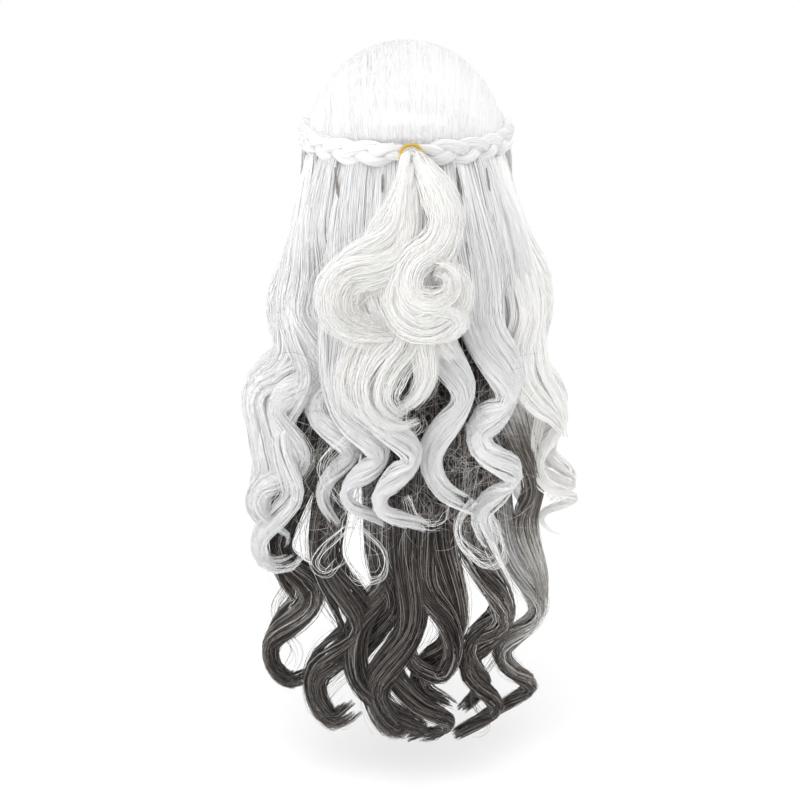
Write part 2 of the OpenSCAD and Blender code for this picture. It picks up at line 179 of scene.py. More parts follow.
# Hair of the left side that fills in between the locks; the right side mirrors it
FILL = {
    "side_fill_1": ([(-70, -64, 66), (-76, -70, 20), (-80, -72, -40), (-88, -74, -100), (-80, -76, -150),
        (-92, -76, -200)], (30, 40, 38, 28, 8)),
    "side_fill_2": ([(-80, -27, 66), (-86, -28, 20), (-90, -28, -40), (-98, -28, -100), (-92, -28, -150),
        (-104, -28, -210)], (30, 40, 40, 30, 8)),
    "side_fill_3": ([(-82, 12, 66), (-88, 13, 20), (-91, 14, -40), (-100, 14, -100), (-92, 15, -150),
        (-100, 15, -200)], (28, 36, 34, 26, 7)),
    "front_sweep": ([(-3, 97, 105), (-26, 93, 104), (-50, 82, 96), (-70, 62, 84), (-82, 40, 68),
        (-89, 34, 40), (-92, 36, -6)], (26, 36, 42, 38, 24, 8)),
}
# Curls that lie among the dark locks low down
DARK_CURLS = {
    "dark_curl_1": ([(-24, -92, -150), (-26, -94, -230), (-17, -96, -300), (-44, -98, -350),
        (-44, -104, -396), (-17, -108, -424), (15, -106, -447), (2, -98, -462)], (18, 24, 15)),
    "dark_curl_2": ([(20, -96, -150), (14, -100, -230), (15, -104, -300), (36, -108, -338),
        (42, -110, -368), (30, -110, -394), (6, -106, -380), (2, -98, -356)], (18, 22, 12)),
    "dark_curl_3": ([(4, -88, -150), (8, -88, -240), (14, -90, -300), (4, -94, -345), (-14, -100, -384),
        (8, -106, -418), (38, -108, -436), (30, -100, -456), (8, -96, -462)], (18, 22, 14)),
    "dark_curl_4": ([(66, -84, -150), (70, -88, -220), (62, -92, -280), (84, -94, -326), (58, -94, -372),
        (70, -92, -412), (50, -88, -440)], (18, 18, 9)),
}
# Curls of the tail that lie over its main locks
TAIL_CURLS = {
    "tail_fan_1": ([(3, -124, 83), (-1, -140, 66), (-8, -146, 44), (-17, -150, 18), (-24, -152, -10),
        (-20, -153, -40), (-14, -154, -70)], (9, 17, 36, 50, 50)),
    "tail_fan_2": ([(6, -124, 83), (19, -142, 66), (29, -150, 44), (30, -153, 24), (20, -155, 4),
        (10, -155, -16)], (9, 24, 26, 24)),
    "tail_curl_1": ([(4, -124, 80), (3, -142, 53), (1, -150, 27), (-6, -156, 10), (-24, -160, 2),
        (-47, -162, -3), (-58, -163, -18), (-58, -163, -38), (-45, -162, -51), (-26, -160, -56),
        (-6, -158, -57)], (8, 18, 20, 18, 12)),
    "tail_curl_2": ([(6, -124, 83), (19, -142, 68), (28, -150, 52), (31, -154, 36), (23, -160, 18),
        (7, -162, 6), (1, -164, -9), (5, -166, -24), (20, -168, -29), (34, -168, -22), (37, -168, -10),
        (29, -166, 0), (15, -164, 1)], (8, 22, 18, 17, 15)),
    "tail_curl_3": ([(4, -124, 80), (0, -140, 40), (-2, -148, 0), (-3, -154, -47), (-6, -155, -65),
        (-18, -157, -80), (-26, -158, -101), (-22, -157, -120), (-6, -154, -132), (12, -152, -128)],
        (8, 18, 32, 40, 30, 18)),
    "tail_curl_4": ([(6, -124, 82), (19, -142, 66), (29, -150, 46), (27, -156, 24), (10, -160, 4),
        (1, -162, -16), (6, -162, -38), (21, -166, -32), (38, -166, -35), (44, -165, -44), (36, -163, -54),
        (19, -160, -59), (2, -158, -57)], (7, 18, 12, 10, 7)),
    "tail_curl_5": ([(4, -124, 80), (1, -140, 40), (4, -148, 0), (13, -150, -31), (14, -152, -62),
        (16, -153, -79), (16, -154, -95), (7, -154, -113), (-9, -152, -126)], (8, 14, 22, 16, 10)),
    "tail_curl_6": ([(4, -124, 80), (0, -142, 40), (-2, -152, 5), (-19, -156, -8), (-38, -158, -15),
        (-49, -159, -28), (-45, -159, -43), (-29, -158, -50), (-11, -156, -50)], (8, 22, 18, 12)),
}
# Loose wisps of each colour: knots, and how many fibres
WISPS = {
    "white": [
        ([(-44, -136, -150), (-68, -138, -176), (-62, -140, -200), (-48, -138, -226),
            (-40, -134, -252)], 10),
        ([(0, -138, -206), (8, -140, -224), (22, -142, -232), (38, -140, -222), (44, -138, -202)], 8),
        ([(-52, -136, -236), (-72, -136, -256), (-78, -136, -270), (-68, -134, -278), (-56, -134, -266),
            (-56, -134, -248), (-66, -134, -240)], 9),
        ([(0, -138, -128), (-2, -140, -144), (8, -142, -148), (14, -140, -138), (6, -138, -126)], 7),
        ([(-40, -130, -240), (-20, -132, -262), (-24, -134, -282), (-44, -132, -284), (-46, -130, -262),
            (-26, -130, -250)], 9),
        ([(59, -112, -220), (45, -112, -241), (50, -112, -263), (73, -112, -278), (83, -112, -263),
            (73, -112, -250)], 24),
        ([(67, -110, -227), (80, -110, -249), (85, -110, -274), (74, -110, -289)], 24),
    ],
    "dark": [
        ([(-96, -80, -300), (-118, -82, -340), (-100, -84, -386), (-128, -84, -420)], 8),
        ([(-60, -98, -330), (-44, -100, -380), (-76, -100, -420), (-60, -98, -455), (-40, -98, -440)], 8),
        ([(80, -98, -380), (60, -98, -420), (74, -98, -450), (40, -98, -462)], 10),
        ([(20, -100, -300), (50, -104, -340), (30, -104, -372), (52, -102, -402)], 8),
    ],
}
# Gaps of painted shade, dark fibres laid where shadow shows between the straight locks under the braids:
# upper end, lower end and width
SHADE_SLITS = [
    ((-58, -93, 66), (-55, -104, 42), 3.0), ((-19, -112, 64), (-19, -118, 50), 1.6),
    ((16, -120, 44), (22, -128, 14), 5.0), ((41, -103, 68), (46, -113, 38), 3.0),
    ((49, -120, 10), (54, -121, -24), 2.4), ((66, -85, 64), (69, -93, 46), 1.5),
]


# ---- curves ----

def unit(v):
    return v / np.maximum(np.linalg.norm(v, axis=-1, keepdims=True), 1e-9)


def spline(knots, count):
    """count evenly spaced points on the smooth curve through the knots."""
    k = np.asarray(knots, float)
    k = np.vstack([2 * k[0] - k[1], k, 2 * k[-1] - k[-2]])
    t = np.linspace(0, 1, 24, endpoint=False)[:, None]
    spans = []
    for p0, p1, p2, p3 in zip(k[:-3], k[1:-2], k[2:-1], k[3:]):
        spans.append(0.5 * (2 * p1 + (p2 - p0) * t + (2 * p0 - 5 * p1 + 4 * p2 - p3) * t * t
                            + (3 * p1 - p0 - 3 * p2 + p3) * t ** 3))
    fine = np.vstack(spans + [k[-2][None]])
    far = np.concatenate([[0], np.cumsum(np.linalg.norm(np.diff(fine, axis=0), axis=1))])
    at = np.linspace(0, far[-1], count)
    return np.stack([np.interp(at, far, fine[:, a]) for a in range(3)], 1)


def sized(sizes, s):
    """A size along a lock, from its values at even steps from the root to the tip."""
    return np.interp(s, np.linspace(0, 1, len(sizes)), sizes)


class Ribbon:
    """A lock's centreline with the directions across it and out of it, curling as it waves.

    It faces the given direction, or away from the head where facing is "head". Without a facing it lies
    flat on the head at the root and turns more towards the back lower down. curl tilts it sideways with
    each wave, and depth carries the wave outwards too."""

    def __init__(self, knots, count=60, curl=1.2, depth=0.45, facing=None):
        line = spline(np.array(knots, float) * MM, count)
        step = np.linalg.norm(np.diff(line, axis=0), axis=1).mean()
        if facing == "head":
            out = unit((line - np.array([0, 0, HEAD_Z])) / HEAD ** 2)
        elif facing is None:
            turn = np.interp(line[:, 2], [-0.03, 0.06], [0.5, 1.5])
            out = unit(line * np.stack([turn, np.ones(count), np.zeros(count)], 1))
        else:
            out = np.tile(np.array(facing, float), (count, 1))
        side = unit(np.cross(UP, out))
        reach = max(2, int(WAVE / step / 2))
        padded = np.vstack([np.tile(line[0], (reach, 1)), line, np.tile(line[-1], (reach, 1))])
        kernel = np.ones(2 * reach + 1) / (2 * reach + 1)
        axis = np.stack([np.convolve(padded[:, a], kernel, "valid") for a in range(3)], 1)
        self.s = np.linspace(0, 1, count)
        fade = np.minimum(1, self.s * 3) * np.minimum(1, self.s[::-1] * 6 + 0.4)
        sway = ((line - axis) * side).sum(1) * fade
        swing = np.gradient(sway, step) * WAVE / (2 * np.pi)
        self.line = line + out * (depth * np.clip(swing, -0.02, 0.02))[:, None]
        self.along = unit(np.gradient(self.line, axis=0))
        lean = out + side * (curl * np.clip(sway / 0.014, -1, 1))[:, None]
        self.out = unit(lean - (lean * self.along).sum(1, keepdims=True) * self.along)
        self.across = np.cross(self.along, self.out)

    def at(self, s):
        """Line, across and out at the shares s of the length, each shaped like s with a last axis of 3."""
        return [np.stack([np.interp(s, self.s, v[:, a]) for a in range(3)], -1)
                for v in (self.line, self.across, self.out)]


def drift(count, points, amount, waves):
    """Slow random sideways moves: count rows of smooth noise with about that many waves in each."""
    s = np.linspace(0, 1, points)[None]
    total = np.zeros((count, points))
    for k in (1.0, 1.9):
        phase = rng.uniform(0, 2 * np.pi, (count, 1))
        speed = waves * k * rng.uniform(0.7, 1.3, (count, 1))
        total += np.sin(2 * np.pi * speed * s + phase) / k
    return amount * total


def drift_3d(count, points, amount, waves):
    return np.stack([drift(count, points, amount, waves) for _ in range(3)], -1)


def bundle(ribbon, width, thick, fibres, points=38, parts=9, gather=0.45, part=0.12, frizz=0.7, fan=0.25,
           short=0.12, slide=0.012, feather=0.15):
    """Fibres along a ribbon, mostly near its faces: a sheet at the root that parts into strands lower down.

    gather pulls the fibres to the middle of their strand and part sways the strands. At the tip fan spreads
    the strands, short cuts them back and slide moves them lengthwise. frizz is in millimetres. A feathered
    ribbon has a dense middle and thin edges."""
    s = np.linspace(0, 1, points)[None]
    u_root = (1 - feather) * rng.uniform(-1, 1, fibres) + feather * rng.normal(0, 0.8, fibres)
    inside = np.clip(1 - np.abs(u_root) ** 2.5, 0.1, 1)
    v_root = rng.choice([-1, 1], fibres) * np.sqrt(rng.uniform(0.3, 1, fibres) * inside)
    strand = np.clip(((u_root + 1) / 2 * parts + rng.normal(0, 0.35, fibres)).astype(int), 0, parts - 1)
    centre = (np.arange(parts) + 0.5) / parts * 2 - 1 + rng.uniform(-0.4, 0.4, parts) / parts
    strand_u = centre[:, None] * fan * s ** 3 + drift(parts, points, part, 1.3) * (0.25 + s)
    strand_v = drift(parts, points, 0.16, 1.1) * (0.4 + s)
    strand_slide = drift(parts, points, slide, 0.8) * s
    strand_end = 1 - short * rng.uniform(0, 0.8, parts)
    gathered = (centre[strand] - u_root)[:, None] * gather * s ** 1.5
    u = u_root[:, None] + gathered + strand_u[strand] + drift(fibres, points, 0.04, 1.6)
    v = v_root[:, None] + strand_v[strand] + drift(fibres, points, 0.06, 1.4)
    end = (strand_end[strand] - short * 0.6 * rng.uniform(0, 1, fibres) ** 2)[:, None]
    here = np.clip(s * end + strand_slide[strand] + rng.normal(0, 0.002, (fibres, 1)), 0, 1)
    line, across, out = ribbon.at(here)
    taper = 1 - 0.25 * np.clip((s - 0.75) / 0.25, 0, 1) ** 1.5
    half_w = sized(width, here) * MM / 2 * taper
    half_t = sized(thick, here) * MM / 2 * taper
    stray = drift_3d(fibres, points, 0.5, 2.0) * (frizz * MM * (0.3 + 1.2 * s ** 2))[..., None]
    # Near the root the bundle bows round the head
    bow = ROOT_BOW * (half_w * u) ** 2 * np.clip(1 - 2.5 * here, 0, 1)
    return line + across * (half_w * u)[..., None] + out * (half_t * v - bow)[..., None] + stray


# ---- materials ----

def feed(owner, node, inputs):
    """Gives each input of a node its value, or a link where the value is another node's output."""
    for key, value in inputs.items():
        if isinstance(value, bpy.types.NodeSocket):
            owner.node_tree.links.new(value, node.inputs[key])
        else:
            node.inputs[key].default_value = value


def add_node(owner, kind, inputs=None, **settings):
    """A new node of a material or world, with its settings and then its inputs."""
    node = owner.node_tree.nodes.new("ShaderNode" + kind)
    for key, value in settings.items():
        setattr(node, key, value)
    feed(owner, node, inputs or {})
    return node


def shade(m, inputs):
    feed(m, m.node_tree.nodes["Principled BSDF"], inputs)


def new_material(name, inputs):
    m = bpy.data.materials.new(name)
    m.use_nodes = True
    shade(m, inputs)
    return m


def place_of(m):
    """The place on an object, in its own space."""
    return add_node(m, "TexCoord").outputs["Object"]


def fibre_material(name, colour, shine=0.4, glow=0.02):
    """One tone of synthetic hair fibre. The glow stands for light that passes through the fibres."""
    m = new_material(name, {
        "Base Color": (*colour, 1), "Roughness": 0.42, "Specular IOR Level": shine,
        "Sheen Weight": 0.4 * shine, "Sheen Roughness": 0.4,
        "Emission Color": (*colour, 1), "Emission Strength": glow})
    m.diffuse_color = (*colour, 1)
    return m


def coloured(m, value, *stops):
    """The colour that belongs to a value, from stops of place and colour; the first two are the ends."""
    ramp = add_node(m, "ValToRGB", {"Fac": value})
    elements = ramp.color_ramp.elements
    for element, (position, colour) in zip(elements, stops[:2]):
        element.position = position
        element.color = (*colour, 1)
    for position, colour in stops[2:]:
        elements.new(position).color = (*colour, 1)
    return ramp.outputs["Color"]


def patterned(m, value, low, high, strength, distance, hollow=False):
    """Colours a material by a texture's value, between two stops of place and colour, and embosses it."""
    relief = add_node(m, "Bump", {"Height": value, "Strength": strength, "Distance": distance}, invert=hollow)
    shade(m, {"Base Color": coloured(m, value, low, high), "Normal": relief.outputs["Normal"]})
    return m


def streaked_material(name, low, high):
    """Hair seen as one mass: fine streaks that run along it, by its own Flow map."""
    m = new_material(name, {"Roughness": 0.5})
    flow = add_node(m, "UVMap", uv_map="Flow").outputs["UV"]
    stretched = add_node(m, "Mapping", {"Vector": flow, "Scale": (90.0, 3.0, 1.0)}).outputs["Vector"]
    noise = add_node(m, "TexNoise", {"Vector": stretched, "Scale": 1.0, "Detail": 3.0}).outputs["Fac"]
    return patterned(m, noise, (0.35, low), (0.65, high), 0.25, 0.6 * MM)


def fading_material(name, top, bottom):
    """Hair as one mass that turns from white to charcoal between two levels, with streaks along it."""
    m = streaked_material(name, (0.72, 0.72, 0.72), (1.0, 1.0, 1.0))
    streak = m.node_tree.nodes["Principled BSDF"].inputs["Base Color"].links[0].from_socket
    height = add_node(m, "SeparateXYZ", {"Vector": place_of(m)}).outputs["Z"]
    level = add_node(m, "MapRange", {"Value": height, "From Min": top, "From Max": bottom}).outputs["Result"]
    fade = coloured(m, level, (0, (0.94, 0.94, 0.94)), (1, (0.05, 0.045, 0.042)), (0.55, (0.30, 0.28, 0.26)))
    mix = add_node(m, "Mix", data_type="RGBA", blend_type="MULTIPLY")
    feed(m, mix, {"Factor": 1.0, "A": fade, "B": streak})
    shade(m, {"Base Color": mix.outputs["Result"]})
    return m


def woven_material(name, low, high, cells):
    """Cloth, net or elastic: small cells of thread with darker gaps."""
    m = new_material(name, {"Roughness": 0.85})
    cell = add_node(m, "TexVoronoi", feature="DISTANCE_TO_EDGE")
    feed(m, cell, {"Vector": place_of(m), "Scale": cells})
    return patterned(m, cell.outputs["Distance"], (0.04, high), (0.16, low), 0.4, 0.4 * MM, hollow=True)


def grained_material(name, colour, worn, roughness):
    """Rubber or moulded plastic: a faint mottle and a fine grain."""
    m = new_material(name, {"Roughness": roughness})
    noise = add_node(m, "TexNoise", {"Vector": place_of(m), "Scale": 900.0, "Detail": 4.0}).outputs["Fac"]
    return patterned(m, noise, (0, colour), (1, worn), 0.2, 0.2 * MM)


# Tones run from the one seen most to the one seen least
WHITE_TONES = [fibre_material(f"white_fibre_{i}", c, glow=0.03) for i, c in enumerate(
    [(0.95, 0.95, 0.955), (0.97, 0.97, 0.97), (0.93, 0.93, 0.94), (0.88, 0.88, 0.89)])]
CREAM_TONES = [fibre_material(f"cream_fibre_{i}", c, glow=0.06) for i, c in enumerate(
    [(0.98, 0.975, 0.96), (0.985, 0.985, 0.975), (0.96, 0.95, 0.925), (0.92, 0.905, 0.87)])]
# The fade from white down to charcoal, lightest first; the dark tones are duller
FADE_TONES = [fibre_material(f"fade_fibre_{i}", c, shine=0.4 if i < 5 else 0.15) for i, c in enumerate(
    [(0.94, 0.94, 0.94), (0.72, 0.705, 0.68), (0.44, 0.415, 0.39), (0.26, 0.236, 0.215),
     (0.145, 0.126, 0.112), (0.078, 0.066, 0.060), (0.038, 0.032, 0.031), (0.014, 0.012, 0.012)])]
WHITE_MASS = streaked_material("white_hair_mass", (0.84, 0.84, 0.85), (0.96, 0.96, 0.965))
CREAM_MASS = streaked_material("cream_hair_mass", (0.84, 0.82, 0.79), (0.96, 0.95, 0.92))
FADE_MASS = fading_material("fading_hair_mass", -0.11, -0.24)
DARK_MASS = streaked_material("dark_hair_mass", (0.012, 0.011, 0.011), (0.045, 0.040, 0.037))
# Kinds of hair: the tones of the fibres, the material of the core, and the slot
WHITE_HAIR = (WHITE_TONES, WHITE_MASS, "white_hair")
PEARL_HAIR = (CREAM_TONES, WHITE_MASS, "white_hair")
CREAM_HAIR = (CREAM_TONES, CREAM_MASS, "cream_hair")
DARK_HAIR = (FADE_TONES, DARK_MASS, "dark_hair")
ASH_HAIR = (FADE_TONES, FADE_MASS, "ash_hair")


# ---- meshes ----

def mesh_object(name, points, faces, materials, slots=None, smooth=True, flow=None):
    """A mesh from an array of points and a list of face arrays, each with its own number of corners."""
    corners = np.concatenate([f.ravel() for f in faces])
    counts = np.concatenate([np.full(len(f), f.shape[1]) for f in faces])
    mesh = bpy.data.meshes.new(name)
    mesh.vertices.add(len(points))
    mesh.vertices.foreach_set("co", np.ascontiguousarray(points, np.float32).ravel())
    mesh.loops.add(len(corners))
    mesh.loops.foreach_set("vertex_index", corners.astype(np.int32))
    mesh.polygons.add(len(counts))
    mesh.polygons.foreach_set("loop_start", (np.cumsum(counts) - counts).astype(np.int32))
    mesh.polygons.foreach_set("use_smooth", np.full(len(counts), smooth))
    for m in materials:
        mesh.materials.append(m)
    if slots is not None:
        mesh.polygons.foreach_set("material_index", slots.astype(np.int32))
    if flow is not None:
        uv = mesh.uv_layers.new(name="Flow")
        uv.data.foreach_set("uv", np.ascontiguousarray(flow[corners], np.float32).ravel())
    mesh.update(calc_edges=True)
    obj = bpy.data.objects.new(name, mesh)
    bpy.context.scene.collection.objects.link(obj)
    return obj


def on_cap(obj, slot_name, *nodes):
    """Lets a piece ride the cap and names the CAD nodes that it stands for. Its slot name is not used."""
    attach(obj, "cap")
    if nodes:
        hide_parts(*nodes)


def tube_points(paths, across, out, half_w, half_t, sides):
    """Rings of points round each path. Shapes: paths (n, p, 3), directions the same, halves (n, p)."""
    angle = np.arange(sides) * 2 * np.pi / sides
    c, s = np.cos(angle), np.sin(angle)
    return (paths[:, :, None] + across[:, :, None] * (half_w[..., None] * c)[..., None]
            + out[:, :, None] * (half_t[..., None] * s)[..., None])


def fibres_object(name, paths, radius, tones, span_tones=None):
    """All fibres of a piece as closed three-sided tubes. span_tones has a tone for each fibre and span."""
    n, p, _ = paths.shape
    along = unit(np.gradient(paths, axis=1))
    guide = unit(paths * np.array([1, 1, 0]) + np.array([0, 0, 0.02]))
    across = unit(np.cross(along, guide))
    out = np.cross(across, along)
    s = np.linspace(0, 1, p)[None]
    thick = radius * (1 - 0.55 * np.clip((s - 0.8) / 0.2, 0, 1)) * rng.uniform(0.75, 1.25, (n, 1))
    rings = tube_points(paths, across, out, thick, thick, 3)
    base = (np.arange(n * p) * 3).reshape(n, p)
    quads = []
    for k in range(3):
        m = (k + 1) % 3
        quads.append(np.stack([base[:, :-1] + k, base[:, :-1] + m, base[:, 1:] + m, base[:, 1:] + k], -1))
    spans = np.stack(quads, 2).reshape(-1, 4)
    if span_tones is None:
        weights = np.array([0.46, 0.30, 0.17, 0.07])[:len(tones)]
        tone = rng.choice(len(tones), n, p=weights / weights.sum())
        slots = np.repeat(tone, (p - 1) * 3)
    else:
        slots = np.repeat(span_tones.reshape(-1), 3)
    ends = np.concatenate([np.stack([base[:, 0], base[:, 0] + 2, base[:, 0] + 1], -1),
                           np.stack([base[:, -1], base[:, -1] + 1, base[:, -1] + 2], -1)])
    slots = np.concatenate([slots, np.full(len(ends), slots[-1])])
    return mesh_object(name, rings.reshape(-1, 3), [spans, ends], tones, slots)


def tube_object(name, s, line, across, out, half_w, half_t, material):
    """A closed tube of oval section along a line, with its streaks laid out by s."""
    sides, points = 12, len(line)
    rings = tube_points(line[None], across[None], out[None], half_w[None], half_t[None], sides)
    i = np.arange(points - 1)[:, None] * sides
    j = np.arange(sides)[None]
    k = (j + 1) % sides
    quads = np.stack([i + j, i + k, i + sides + k, i + sides + j], -1).reshape(-1, 4)
    # Each end is closed by a fan of quads round its own middle point
    first, last = points * sides, points * sides + 1
    tail = (points - 1) * sides
    even = np.arange(0, sides, 2)
    caps = [np.stack([np.full(len(even), first), (even + 2) % sides, even + 1, even], -1),
            np.stack([np.full(len(even), last), tail + even, tail + even + 1, tail + (even + 2) % sides], -1)]
    flow = np.stack([np.tile(np.arange(sides) / sides, points), np.repeat(s, sides)], -1)
    flow = np.vstack([flow, [0.5, s[0]], [0.5, s[-1]]])
    points_all = np.vstack([rings.reshape(-1, 3), line[0], line[-1]])
    return mesh_object(name, points_all, [quads, *caps], [material], flow=flow)


def core_object(name, ribbon, width, thick, material):
    """The closed inner mass of a lock, slimmer and shorter than its fibres, with pointed ends."""
    end = 0.84
    s = np.linspace(0, end, 44)
    line, across, out = ribbon.at(s)
    taper = np.sqrt(np.clip(1 - np.clip((s - 0.6 * end) / (0.4 * end), 0, 1) ** 2.2, 0.02, 1))
    taper = taper * np.interp(s, [0, 0.5, 1], [0.74, 0.5, 0.5])
    half_w = sized(width, s) * MM / 2 * taper
    half_t = sized(thick, s) * MM / 2 * taper * 0.85
    return tube_object(name, s, line, across, out, half_w, half_t, material)


# ---- the head's surface ----

def on_head(direction, off, sizes=HEAD, boxy=BOXY):
    """The point on the head, moved out by off, in the given directions from the head's middle."""
    d = direction / (sizes + off)
    flat = (d[..., 0] ** 2 + d[..., 1] ** 2) ** (boxy / 2)
    reach = (flat + np.abs(d[..., 2]) ** boxy) ** (-1 / boxy)
    return direction * reach[..., None] + np.array([0, 0, HEAD_Z])


def on_crown(direction, depth):
    """A point that deep in the combed hair, which is rounder than the head and closer at the sides."""
    return on_head(direction, HAIR_OFF - depth, HEAD - CROWN_INSET, CROWN_BOXY)


def combed(lateral, turn):
    """A direction from the head's middle: lateral degrees to the side, turn degrees over from the front."""
    a, t = np.radians(lateral), np.radians(turn)
    return np.stack([np.sin(a), np.cos(a) * np.cos(t), np.cos(a) * np.sin(t)], -1)


def crown_paths(count, points, low, high):
    """Fibres combed back over the crown from the front edge to the braids, drawn in a little to the tie."""
    turn = np.linspace(20, 178, 120)
    rows = []
    while len(rows) < count:
        lateral = rng.uniform(low, high)
        pull = 1 - 0.30 * np.clip((turn - 90) / 90, 0, 1) ** 1.5 * math.cos(math.radians(lateral))
        p = on_crown(combed(lateral * pull, turn), rng.uniform(0, 1) ** 2 * 0.5 * MM)
        # The levels where the hair ends, at the hairline and at the braids
        front = 97 * MM + rng.uniform(-3, 3) * MM
        back = 76 * MM + rng.uniform(-2, 2) * MM
        p = p[p[:, 2] > np.where(p[:, 1] > 30 * MM, front, back)]
        if len(p) < 12:
            continue
        # A few fibres are cut short
        start, stop = sorted(rng.uniform(0, 1, 2) ** np.array([3.0, 0.33]))
        if rng.uniform() < 0.15:
            p = p[int(start * 0.6 * len(p)):max(int(stop * len(p)), len(p) // 2)]
        if len(p) < 8:
            continue
        rows.append(spline(p[np.linspace(0, len(p) - 1, 11).astype(int)], points))
    return np.array(rows) + drift_3d(count, points, 0.22 * MM, 1.0)


# ---- pieces ----

def lock(name, node, knots, width, thick, hair, body="cap", fibres=420, radius=0.28, toner=None, core=True,
         ribbon_args=None, **bundle_args):
    """A lock: its fibres stand for the CAD node, and its core closes it. toner picks the fibres' tones.

    Knots, widths, thicknesses and the fibres' radius are in millimetres."""
    tones, mass, slot_name = hair
    ribbon = Ribbon(knots, **(ribbon_args or {}))
    paths = bundle(ribbon, width, thick, fibres, **bundle_args)
    made = [fibres_object(name + "_fibres", paths, radius * MM, tones, toner(paths) if toner else None)]
    if core:
        made.append(core_object(name + "_core", ribbon, width, thick, mass))
    for obj in made:
        if body == "cap":
            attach(obj, "cap")
        else:
            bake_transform(obj)
    if node:
        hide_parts(node)


def span_heights(paths):
    return (paths[:, 1:, 2] + paths[:, :-1, 2]) / 2


def toned(levels, values):
    """Picks a tone for each span by its height: values at the given levels, lowest level first."""
    def tones(paths):
        z = span_heights(paths) + rng.normal(0, 8 * MM, (len(paths), 1))
        base = np.interp(z, levels, values)
        noisy = base + rng.normal(0, 0.9, (len(paths), 1)) * np.minimum(1, base)
        return np.clip(np.round(noisy), 0, len(FADE_TONES) - 1).astype(int)
    return tones


def charcoal(ash=None):
    """Picks dark and some brown tones for the fibres; ash = (level, reach, amount) lightens a stretch."""
    def tones(paths):
        last, lightest = len(FADE_TONES) - 1, 2
        base = np.clip(last - np.abs(rng.normal(0, 2.5, (len(paths), 1))), lightest, last)
        z = span_heights(paths)
        base = np.repeat(base, z.shape[1], 1) + drift(len(z), z.shape[1], 0.45, 1.2)
        if ash:
            level, reach, amount = ash
            lighter = amount * np.exp(-((z - level) / reach) ** 2)
            base = base - lighter * rng.uniform(0.5, 1.2, (len(paths), 1))
        return np.clip(np.round(base), 0, last).astype(int)
    return tones


def mirrored(knots, side):
    """Knots of the left side, or the same on the right."""
    sign = 1 if side == "left" else -1
    return [(sign * x, y, z) for x, y, z in knots]


def rooted(knots):
    """The knots with the root drawn in under the braids, and one more knot above it, close to the head."""
    x, y, z = knots[0]
    return [(0.8 * x, 0.8 * y, z + 22), (0.925 * x, 0.925 * y, z)] + list(knots[1:])


# How much wider a white lock is than its solid in the CAD, from the root to the tip
OUTER_GROW = {
    "white_lock_1": (0.9, 1.35, 1.45, 1.4, 1.4, 1.35, 1.6),
    "white_lock_2": (0.9, 1.35, 1.45, 1.2, 0.75, 0.5, 0.6),
    "white_lock_7": (0.9, 1.35, 1.45, 1.3, 0.9, 0.8, 0.9),
    "white_lock_8": (0.9, 1.35, 1.45, 1.35, 1.05, 0.9, 1.0),
}
INNER_GROW = (0.9, 1.3, 1.4, 1.25, 0.8, 0.7, 0.9)


def make_white_locks():
    bodies = {"white_lock_1": "left_outer_lock", "white_lock_8": "right_outer_lock"}
    hairs = {"white_lock_7": ASH_HAIR, "white_lock_8": PEARL_HAIR}
    fade = toned([-0.355, -0.32, -0.275, -0.25, -0.18, -0.14], [3.8, 1.9, 1.5, 3.9, 3.8, 0])
    for name, (knots, (root, middle, tip)) in WHITE.items():
        widths = (root, root, root, middle, middle, middle, tip)
        wide = [w * g for w, g in zip(widths, OUTER_GROW.get(name, INNER_GROW))]
        curl = 0.25 if name == "white_lock_1" else 0.7 if name in OUTER_GROW else 1.4
        hair = hairs.get(name, WHITE_HAIR)
        lock(name, name, rooted(knots), wide, [9, 13, 9], hair, bodies.get(name, "cap"), fibres=540,
             radius=0.24, toner=fade if hair is ASH_HAIR else None, ribbon_args=dict(curl=curl), points=34,
             gather=0.35, frizz=0.9)


def make_outer_waves():
    for name, (side, knots, width) in OUTER_WAVES.items():
        lock(name, None, knots, width, [6, 8, 7], WHITE_HAIR if side == "left" else PEARL_HAIR,
             f"{side}_outer_lock", core=False, fibres=200 if name in THIN_WAVES else 400, points=40,
             ribbon_args=dict(curl=0.5), radius=0.24, feather=0.3, gather=0.3)


def make_fill():
    for side in ("left", "right"):
        for kind, (left_knots, width) in FILL.items():
            knots = mirrored(left_knots, side)
            swept_back = kind == "front_sweep"
            lock(f"{kind}_{side}", None, knots if swept_back else rooted(knots), width, [5, 8, 6], WHITE_HAIR,
                 core=False, fibres=320 if swept_back else 260, points=22, radius=0.26, short=0.3,
                 ribbon_args=dict(facing="head" if swept_back else None, curl=0, depth=0))


# Dark locks that lie close together down to the level where the white ones end
CLOSED = ("dark_lock_3", "dark_lock_4", "dark_lock_5", "dark_lock_6")
# Lighter stretches of the dark locks: level, reach and how many tones lighter
ASH = {
    "dark_lock_1": (-0.34, 0.03, 1.0),
    "dark_lock_3": (-0.24, 0.03, 1.2),
    "dark_lock_6": (-0.29, 0.07, 2.6),
    "dark_lock_7": (-0.31, 0.09, 5.4),
}


def make_dark_locks():
    for name, (knots, (root, middle, tip)) in DARK.items():
        spread = 1.4 if name in CLOSED else 1.15
        low, end = (0.75, 1.0) if name in ("dark_lock_6", "dark_lock_7") else (1.1, 1.25)
        wide = [root * 1.9, middle * spread, middle * low, tip * end]
        args = dict(hair=DARK_HAIR, toner=charcoal(ASH.get(name)), ribbon_args=dict(depth=0.6))
        lock(name, name, knots, wide, [11, 14, 12], fibres=460, points=40, frizz=1.1, short=0.04, slide=0.006,
             **args)
        # Single hairs that leave the lock
        lock(name.replace("lock", "strays"), None, knots, [w * 1.5 for w in wide], [14, 18, 16], core=False,
             fibres=36, points=36, frizz=3.2, radius=0.13, gather=0, short=0.2, **args)


